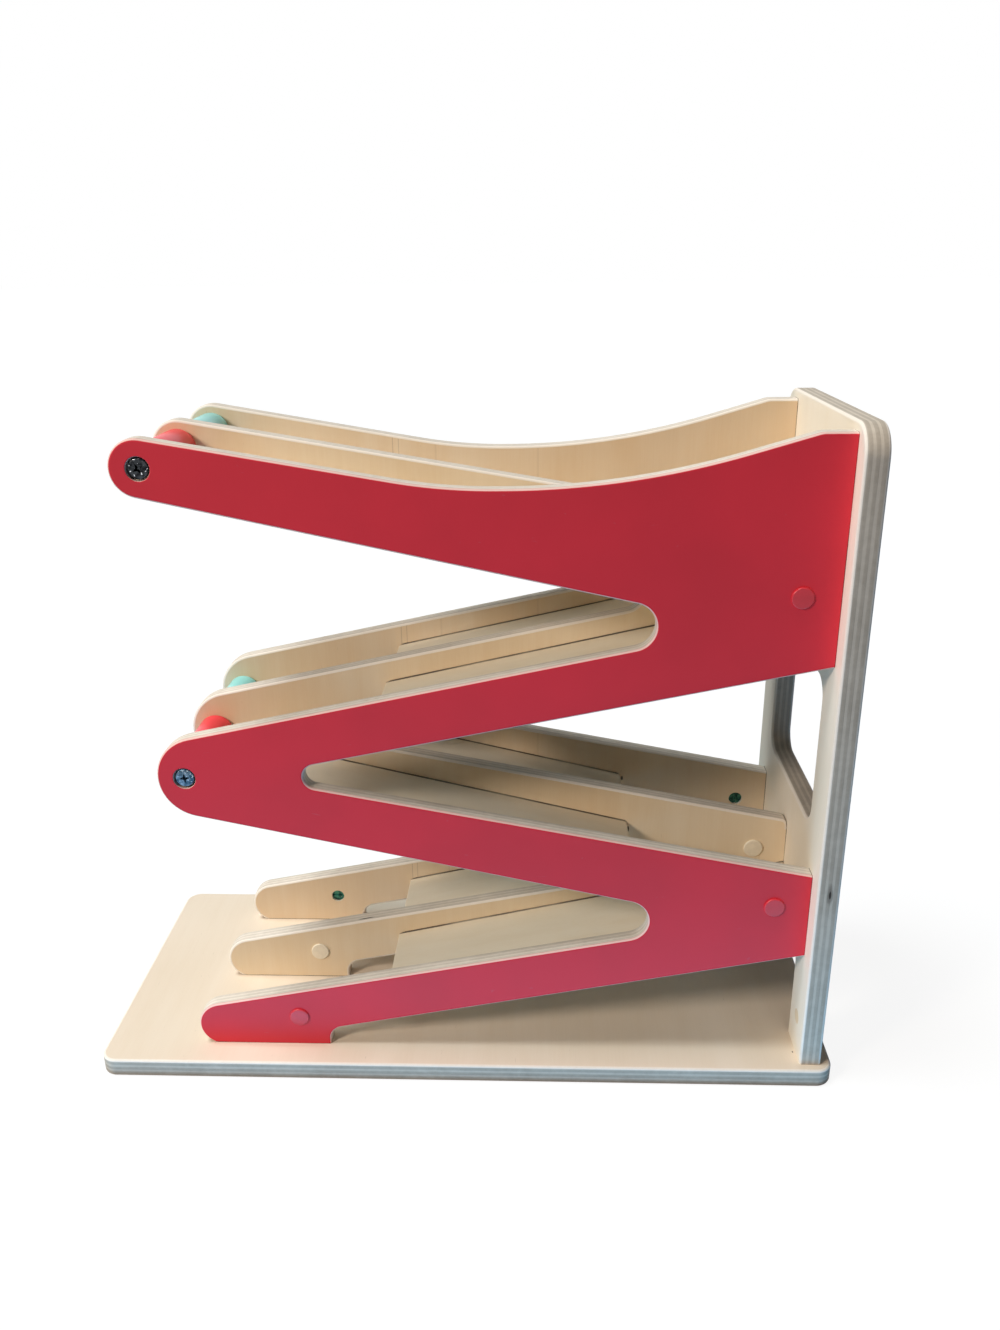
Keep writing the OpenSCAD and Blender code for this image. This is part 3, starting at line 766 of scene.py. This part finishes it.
def plies(name, axis, box, tones, marks=(), joints=(), sprayed=None):
    """Edge of a plywood board. Across its thickness, depth / thickness * plies gives the ply, and
    the sine of ply * pi swings from pale long grain to darker end grain and back, with a faint glue
    line where it crosses zero. Both outer plies are pale veneer over a dark line. A paint on the rim
    is given with the place of its face: it runs over the start of the rim, and a faint tinge of its
    colour on the rest is partly paint dust and partly a painted reflection of the painted face. Where
    other boards stand against it, the edge gets painted shade along the gaps."""
    pale, deep = tones
    low, high = (corner[axis] / MM for corner in box)
    finish = Finish(name, {"Specular IOR Level": 0.25})
    place = finish.axes()[axis]
    wander = finish.noise(14, 3) - 0.5
    depth = (place - low) / (high - low)
    wave = ((depth * PLIES + wander * 0.4) * math.pi).sine()
    end_grain = 1 - wave.between(-0.7, 0.7)
    patches = finish.noise(35, 2)
    streaks = finish.noise(240, 4, 0.6)
    fine = finish.noise(1500, 3, 0.6)
    glue = (1 - wave.size().between(0.05, 0.45)) * patches.between(0.3, 0.7)
    core = (depth - 0.5).size()
    outside = core.between(0.5 - 0.95 / PLIES, 0.5 - 0.80 / PLIES)
    under_face = outside * (1 - core.between(0.5 - 0.80 / PLIES, 0.5 - 0.60 / PLIES))
    tone = end_grain * (0.35 + fine * 0.2) + streaks * 0.7 + patches * 0.5 - 0.45
    colour = finish.mix(tone, pale, deep)
    colour = finish.mix(glue * 0.3, colour, GLUE_LINE)
    colour = finish.mix(outside, colour, finish.mix(fine * 0.4 + streaks * 0.3 - 0.2, FACE_PLY, pale))
    colour = finish.mix(under_face * 0.5, colour, GLUE_LINE)
    if sprayed:
        coat, face = sprayed
        inset = (place - face / MM).size()
        # faint tinge of the paint's colour: partly paint dust, partly a painted reflection of the painted
        # face
        colour = finish.mix((1 - inset.between(*DUST_AND_REFLECTION_ENDS)) * DUST_AND_REFLECTION_TINGE, colour, coat)
        colour = finish.mix(1 - (inset + fine * 0.06).between(*PAINT_ENDS), colour, coat)
    colour = finish.marked(colour, marks, (streaks - 0.5) * 0.9)
    finish.bump(streaks + end_grain * 0.3 - glue * 0.3, 0.08)
    return finish.feed(Base_Color=finish.gap_shaded(colour, joints), Roughness=0.55 + fine * 0.2)


def paint(name, colour, worn, joints):
    """Satin paint on veneer: a faint cloudiness, the fibres just telling through, and an odd paler
    scuff."""
    finish = Finish(name, {"Specular IOR Level": 0.35})
    cloud = finish.noise(14, 3)
    fibres = finish.noise((1100, 1100, 60), 3, 0.6)
    scuffs = finish.noise((90, 90, 240), 3, 0.55, 0.6).between(0.70, 0.76)
    shade = finish.mix(cloud.between(0.3, 0.7), tinted(colour, 0.93), tinted(colour, 1.05))
    shade = finish.mix(scuffs * 0.18, shade, worn)
    finish.bump(fibres * 0.7 + cloud * 0.3, 0.03)
    # painted shade in the gaps where other boards stand against the panel
    return finish.feed(Base_Color=finish.gap_shaded(shade, joints), Roughness=0.40 + cloud * 0.12)


def lacquer(name, colour):
    """Thick glossy lacquer over a turned bar: slightly uneven colour, fine waves in the coat."""
    finish = Finish(name, {"Specular IOR Level": 0.3, "Coat Weight": 0.25, "Coat Roughness": 0.12})
    cloud = finish.noise((60, 20, 60), 2)
    shade = finish.mix(cloud.between(0.3, 0.7), tinted(colour, 0.9), colour)
    finish.bump(finish.noise((500, 90, 500), 2), 0.02)
    return finish.feed(Base_Color=shade, Roughness=0.34 + cloud * 0.1)


def moulded(name, colour, roughness):
    """Moulded plastic with a fine even texture."""
    finish = Finish(name, {"Specular IOR Level": 0.5})
    grain = finish.noise(2600, 2)
    cloud = finish.noise(300, 2)
    shade = finish.mix(cloud.between(0.3, 0.7), tinted(colour, 0.93), colour)
    finish.bump(grain, 0.02)
    return finish.feed(Base_Color=shade, Roughness=roughness - 0.05 + grain * 0.1)


def steel(name, tones, roughness, relief=0.03, glint_from=1.0):
    """Plated steel: blotches of a second tint, machining marks, rougher patches, dents as deep as
    the relief, in millimetres, and bright spots where the noise passes the glint level: painted
    glints, partly worn spots of plain steel."""
    colour, tint = tones
    finish = Finish(name, {"Metallic": 1.0})
    blotch = finish.noise(420, 3, 0.6)
    marks = finish.noise(2400, 3, 0.7)
    dents = finish.noise(900, 2)
    shade = finish.mix(blotch.between(0.35, 0.65), colour, tint)
    # painted glints: bright spots of plain metal where the noise passes the glint level, partly wear
    shade = finish.mix(dents.between(glint_from, glint_from + 0.05), shade, GLINT_STEEL)
    finish.bump(marks * 0.3 + dents * 0.7, relief)
    return finish.feed(Base_Color=shade, Roughness=roughness + blotch * 0.18 + marks * 0.1 - 0.12)


def dowel_wood(name):
    """Turned birch seen mostly on its end grain."""
    finish = Finish(name, {})
    pores = finish.noise(1500, 3, 0.6)
    rings = finish.noise(160, 2)
    finish.bump(pores, 0.08)
    colour = finish.mix(pores * 0.6 + rings * 0.4, PALE_BIRCH, DEEP_BIRCH)
    return finish.feed(Base_Color=colour, Roughness=0.55 + pores * 0.15)


front_box, middle_box, rear_box = (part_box(f"{place}_side_panel") for place in ("front", "middle", "rear"))
base_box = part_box("base_board")
back_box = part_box("back_board")
base_top = base_box[1].z
back_front = back_box[0].x

# Where other boards stand against a panel or a ramp: painted shade runs along these gaps
panel_joints = ((X, back_front, 1), (Z, base_top, -1))
lane_joints = {"front": ((Y, front_box[1].y, -1), (Y, middle_box[0].y, 1)),
               "rear": ((Y, middle_box[1].y, -1), (Y, rear_box[0].y, 1))}


def panel(place, box, slot, faces, **edges):
    """A side panel, with the finishes of its front and rear faces."""
    rim = plies(f"{place}_panel_plies", Y, box, PANEL_PLY, joints=panel_joints, **edges)
    routed_board(f"{place}_side_panel", Y, ((X, back_front), (Z, base_top)), [*faces, rim])


panel_veneer = veneer("panel_veneer", Z, PALE_BIRCH, DEEP_BIRCH, joints=panel_joints)
middle_veneer = veneer("middle_veneer", Z, PALE_BIRCH, DEEP_BIRCH, shift=(0.6, 0, 0.1),
                       marks=MIDDLE_GROOVE_SHADE, joints=panel_joints)
seamed_veneer = veneer("seamed_veneer", Z, GOLD_BIRCH, DARK_BIRCH, shift=(0.3, 0, 0),
                       seams=PANEL_SEAMS, marks=REAR_GROOVE_SHADE, joints=panel_joints)
crimson_paint = paint("crimson_paint", CRIMSON, WORN_CRIMSON, panel_joints)
aqua_paint = paint("aqua_paint", AQUA, WORN_AQUA, panel_joints)
panel("front", front_box, "crimson_painted_plywood", [crimson_paint, panel_veneer],
      sprayed=(CRIMSON, front_box[0].y))
panel("middle", middle_box, "birch_plywood", [middle_veneer, panel_veneer], marks=EDGE_MARKS)
panel("rear", rear_box, "aqua_painted_plywood", [seamed_veneer, aqua_paint],
      sprayed=(AQUA, rear_box[1].y))

base_veneer = veneer("base_veneer", Y, BASE_BIRCH, TAN_BIRCH, shift=(0, 0.2, 0.1), marks=BASE_MARKS)
routed_board("base_board", Z, (),
             [base_veneer, base_veneer, plies("base_plies", Z, base_box, BOARD_PLY)])
back_veneer = veneer("back_veneer", Z, WHITE_BIRCH, CREAM_BIRCH, shift=(0.1, 0.5, 0))
routed_board("back_board", X, ((Z, base_top),),
             [back_veneer, back_veneer, plies("back_plies", X, back_box, BOARD_PLY, marks=POST_MARKS)])

ramp_edge = veneer("ramp_edge", Y, PALE_RAMP, DEEP_RAMP)
# The ramps get painted shade in the thin gaps along their sides, where they meet the panels
for lane in ("front", "rear"):
    ramp_veneer = veneer(f"{lane}_ramp_veneer", X, PALE_RAMP, DEEP_RAMP, joints=lane_joints[lane],
                         gap_shade_width=RAMP_GAP_SHADE)
    for number in (1, 2, 3, 4):
        eased_ramp(f"{lane}_lane_ramp_{number}", [ramp_veneer, ramp_edge])

coral = lacquer("coral_lacquer", CORAL)
pale_aqua = lacquer("aqua_lacquer", PALE_AQUA)
for level in ("upper", "lower"):
    roller(f"{level}_front_roller", coral)
    roller(f"{level}_rear_roller", pale_aqua)

black_steel = steel("black_steel", BLACK_STEEL, 0.25, relief=0.12, glint_from=0.63)
blue_steel = steel("blue_steel", BLUE_STEEL, 0.26, relief=0.10, glint_from=0.66)
green_steel = steel("green_steel", GREEN_STEEL, 0.28, relief=0.06, glint_from=0.68)
zinc_steel = steel("zinc_steel", ZINC_STEEL, 0.30)
frontwards, rearwards = (0, -1, 0), (0, 1, 0)
bolts("upper_tie_bolt", frontwards, TIE_HEAD_H, TIE_SHANK_R, (0.5,), black_steel)
bolts("lower_tie_bolt", frontwards, TIE_HEAD_H, TIE_SHANK_R, (0.1,), blue_steel)
bolts("upper_sleeve_nut", rearwards, TIE_HEAD_H, SLEEVE_R, (0.3,), zinc_steel)
bolts("lower_sleeve_nut", rearwards, TIE_HEAD_H, SLEEVE_R, (1.0,), zinc_steel)
bolts("back_board_bolts", (1, 0, 0), BOLT_HEAD_H, SHANK_R, (0.2, 0.9, 1.3, 0.5, 0.1, 1.1),
      zinc_steel)
bolts("base_bolts", (0, 0, -1), BOLT_HEAD_H, SHANK_R, (0.7, 0.2, 1.2, 0.4, 0.9), zinc_steel)

caps("front_hole_caps", frontwards, moulded("red_plastic", RED_CAP, 0.3))
caps("middle_hole_caps", frontwards, moulded("natural_plastic", NATURAL_CAP, 0.4))
caps("rear_hole_caps", rearwards, moulded("aqua_plastic", AQUA, 0.34))

plain_finishes = {"panel_barrel_nuts": green_steel, "post_barrel_nuts": zinc_steel,
                  "post_plugs": dowel_wood("plug_wood"), "locating_dowels": dowel_wood("dowel_wood")}
for node, finish in plain_finishes.items():
    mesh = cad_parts[node].data
    mesh.materials.clear()
    mesh.materials.append(finish)


def photo_camera():
    """The camera's rotation is yaw about the world's Z, pitch down about its own X, then roll."""
    data = bpy.data.cameras.new("photo_camera")
    data.sensor_width = 36
    data.lens = FOCAL_PX / FRAME_H_PX * data.sensor_width
    data.clip_start = 0.01
    camera = added("photo_camera", data)
    turn = (Matrix.Rotation(YAW, 3, "Z") @ Matrix.Rotation(math.pi / 2 - PITCH, 3, "X")
            @ Matrix.Rotation(ROLL, 3, "Z"))
    camera.matrix_world = Matrix.Translation(CAMERA_PLACE) @ turn.to_4x4()
    bpy.context.scene.camera = camera


def sun(name, direction, level, softness, colour):
    """A sun that shines along a direction. Its level is the brightness that it gives to white paper
    square to it, and its softness the angle, in degrees, that it takes up in the sky."""
    data = bpy.data.lights.new(name, "SUN")
    data.energy = level * math.pi
    data.angle = math.radians(softness)
    data.color = colour
    added(name, data).rotation_euler = Vector(direction).to_track_quat("-Z", "Y").to_euler()


def softbox(name, direction, level, distance, size, colour):
    """A round lamp that shines along a direction at the object's middle. Its level is the brightness
    that it gives to white paper there."""
    data = bpy.data.lights.new(name, "AREA")
    data.shape = "DISK"
    data.size = size
    data.energy = level * (math.pi * distance) ** 2
    data.color = colour
    along = Vector(direction).normalized()
    made = added(name, data)
    made.location = OBJECT_MIDDLE - along * distance
    made.rotation_euler = along.to_track_quat("-Z", "Y").to_euler()
    made.visible_camera = False


def floor_bounce(name, length, width, gap):
    """Cool light from a strip of the ground in front, a gap away from the base. The low front edges
    pick it up."""
    data = bpy.data.lights.new(name, "AREA")
    data.shape = "RECTANGLE"
    data.size = length
    data.size_y = width
    data.energy = BOUNCE_LEVEL * math.pi * length * width
    data.color = BOUNCE_COLOUR
    made = added(name, data)
    made.location = (0, base_box[0].y - gap - width / 2, MM)
    made.rotation_euler = (math.pi, 0, 0)
    made.visible_camera = False


def backdrop():
    """A white surround and a white floor that keeps a faint shadow: both are plain white to rays
    from the camera and from glossy or clear surfaces, and light the object softly otherwise."""
    world = bpy.data.worlds.new("studio")
    bpy.context.scene.world = world
    surround = Finish("surround", {}, world)
    ambient, white = (surround.node("ShaderNodeBackground", None, {"Color": colour, "Strength": level})
                      for colour, level in ((AMBIENT_COLOUR, AMBIENT_LEVEL), ((1, 1, 1), 1.0)))
    surround.show(surround.seen(), ambient, white, "World Output")

    mesh = bpy.data.meshes.new("floor")
    corners = [(-FLOOR_HALF, -FLOOR_HALF, 0), (FLOOR_HALF, -FLOOR_HALF, 0),
               (FLOOR_HALF, FLOOR_HALF, 0), (-FLOOR_HALF, FLOOR_HALF, 0)]
    mesh.from_pydata(corners, [], [(0, 1, 2, 3)])
    floor = added("floor", mesh)
    floor.location.z = -FLOOR_DROP
    finish = Finish("floor", {"Roughness": 0.9, "Specular IOR Level": 0.0})
    seen = finish.seen()
    finish.feed(Base_Color=finish.mix(seen, FLOOR_COLOUR, FLOOR_SEEN))
    glow = finish.node("ShaderNodeEmission", None, {"Strength": FLOOR_WHITE})
    finish.show(seen * FLOOR_GLOW, finish.shader, glow, "Material Output")
    mesh.materials.append(finish.material)


photo_camera()
backdrop()
sun("overhead", (0.342, 0, -0.940), level=0.74, softness=20, colour=(0.95, 1.0, 1.0))
softbox("front_left", (0.633, 0.591, -0.5), level=0.54, distance=2.0, size=0.4, colour=(1.0, 0.88, 0.76))
sun("left", (0.96, 0, -0.27), level=0.10, softness=30, colour=(0.6, 0.95, 1.0))
floor_bounce("near_bounce", length=0.5, width=0.06, gap=0.003)
floor_bounce("wide_bounce", length=0.9, width=0.35, gap=0.012)

bpy.context.scene.view_settings.view_transform = "Standard"
